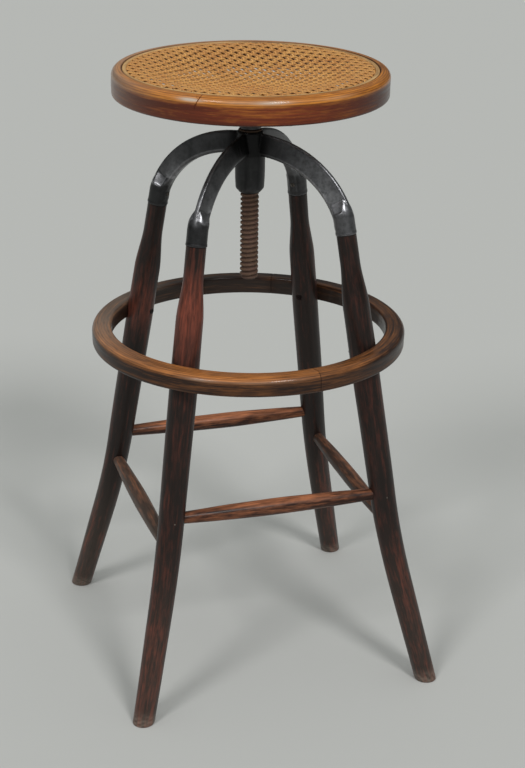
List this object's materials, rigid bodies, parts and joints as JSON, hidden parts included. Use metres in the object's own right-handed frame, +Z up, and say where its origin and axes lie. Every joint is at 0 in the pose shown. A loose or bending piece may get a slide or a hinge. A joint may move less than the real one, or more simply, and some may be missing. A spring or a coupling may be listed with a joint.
{
  "type": "revolving piano stool",
  "caption": "Tall revolving stool with a round caned seat on a coarse height screw, a cast iron arm spider, splayed turned legs, a round foot ring and stretchers.",
  "frame": {"origin": "on the floor, on the axis of the height screw, midway between the feet", "axes": "+Z up along the height screw; the legs stand on the diagonals, so the higher stretchers run along X at the front and rear and the lower ones along Y at the sides; the picture looks from -Y, turned 17 degrees to -X"},
  "size_m": [0.4262, 0.4262, 0.8149],
  "materials": {
    "leg_wood": "dark reddish brown stain, worn, satin",
    "stretcher_wood": "dark reddish brown stain, worn, satin",
    "ring_wood": "brown stain, worn lighter on top, satin",
    "seat_wood": "orange brown oak, old varnish",
    "cane": "golden cane, satin",
    "spline_reed": "stained reed, satin",
    "iron": "black iron, worn to a dull sheen",
    "screw_steel": "brown with rust",
    "fastener_steel": "aged steel",
    "washer_leather": "dark worn leather"
  },
  "bodies": {
    "stand": {"arm_spider": "iron", "foot_ring": "ring_wood", "leg_front_left": "leg_wood", "leg_front_right": "leg_wood", "leg_rear_right": "leg_wood", "leg_rear_left": "leg_wood", "ring_screw_front_left": "fastener_steel", "ring_screw_front_right": "fastener_steel", "ring_screw_rear_right": "fastener_steel", "ring_screw_rear_left": "fastener_steel", "socket_screw_front_left": "fastener_steel", "socket_screw_front_right": "fastener_steel", "socket_screw_rear_right": "fastener_steel", "socket_screw_rear_left": "fastener_steel", "stretcher_front": "stretcher_wood", "stretcher_right": "stretcher_wood", "stretcher_rear": "stretcher_wood", "stretcher_left": "stretcher_wood", "brad_front_a": "fastener_steel", "brad_front_b": "fastener_steel", "brad_right_a": "fastener_steel", "brad_right_b": "fastener_steel", "brad_rear_a": "fastener_steel", "brad_rear_b": "fastener_steel", "brad_left_a": "fastener_steel", "brad_left_b": "fastener_steel"},
    "washer": {"wear_washer": "washer_leather"},
    "seat": {"height_screw": "screw_steel", "seat_iron": "iron", "cross_pin": "screw_steel", "seat_ring": "seat_wood", "cane_spline": "spline_reed", "seat_cane": "cane", "seat_screw_1": "fastener_steel", "seat_screw_2": "fastener_steel", "seat_screw_3": "fastener_steel", "seat_screw_4": "fastener_steel"}
  },
  "joints": [
    {"name": "seat_turn", "type": "hinge", "parent": "stand", "child": "washer", "pos_m": [0, 0, 0.7343], "axis": [0, 0, 1], "range_deg": [0, 5580]},
    {"name": "seat_lift", "type": "slide", "parent": "washer", "child": "seat", "axis": [0, 0, 1], "range_m": [0, 0.0985]}
  ],
  "couplings": [
    {"joint": "seat_lift", "follows": "seat_turn", "m_per_rad": 0.0010106}
  ]
}
